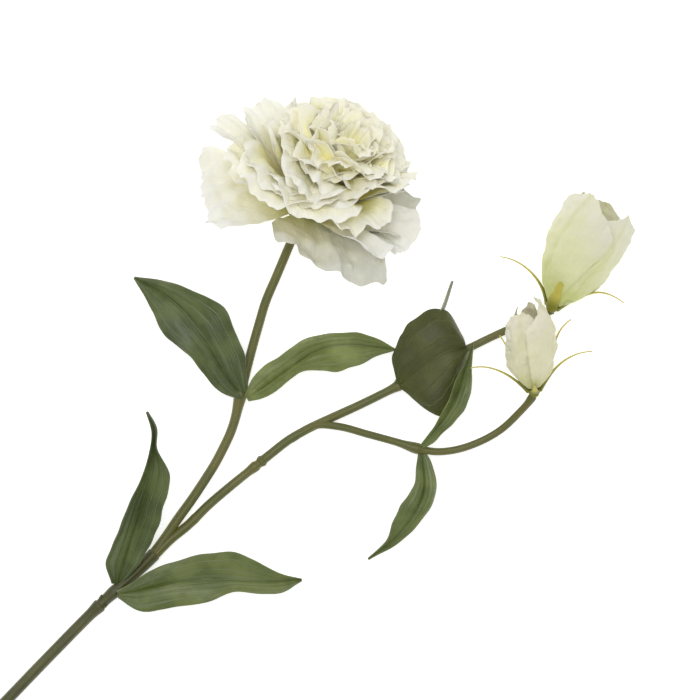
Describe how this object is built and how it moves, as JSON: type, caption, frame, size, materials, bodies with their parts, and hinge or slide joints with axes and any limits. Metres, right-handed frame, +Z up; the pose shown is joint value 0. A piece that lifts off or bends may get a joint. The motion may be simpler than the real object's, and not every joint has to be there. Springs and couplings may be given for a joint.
{
  "type": "cut lisianthus",
  "caption": "Cut lisianthus spray that lies on a surface: a ruffled double white bloom and pale buds on forked green stems with pointed leaves.",
  "frame": {"origin": "on the flat strip along which the main stem rests, 60 mm from its cut end", "axes": "+Z up from the surface the spray lies on, +X and +Y across it, with the main stem running towards +X and +Y"},
  "size_m": [0.2806, 0.2761, 0.0557],
  "materials": {
    "stem": "smooth olive-green stem skin, satin",
    "leaf": "satin dark green leaf with parallel veins",
    "calyx": "smooth yellow-green sepals",
    "bloom_petal": "soft matte cream-white petal, yellow in its depths",
    "bud_petal": "soft matte pale green-white petal"
  },
  "bodies": {
    "root": {"main_stem": "stem", "fork_stem": "stem", "bud_stem": "stem", "leaf_main_left": "leaf", "leaf_main_right": "leaf", "leaf_bloom_left": "leaf", "leaf_bloom_right": "leaf", "leaf_broad": "leaf", "leaf_behind": "leaf", "leaf_bud_up": "leaf", "leaf_bud_down": "leaf", "bloom_calyx": "calyx", "upper_bud_calyx": "calyx", "lower_bud_calyx": "calyx", "bloom_petals": "bloom_petal", "upper_bud_petals": "bud_petal", "lower_bud_petals": "bud_petal"}
  },
  "joints": []
}
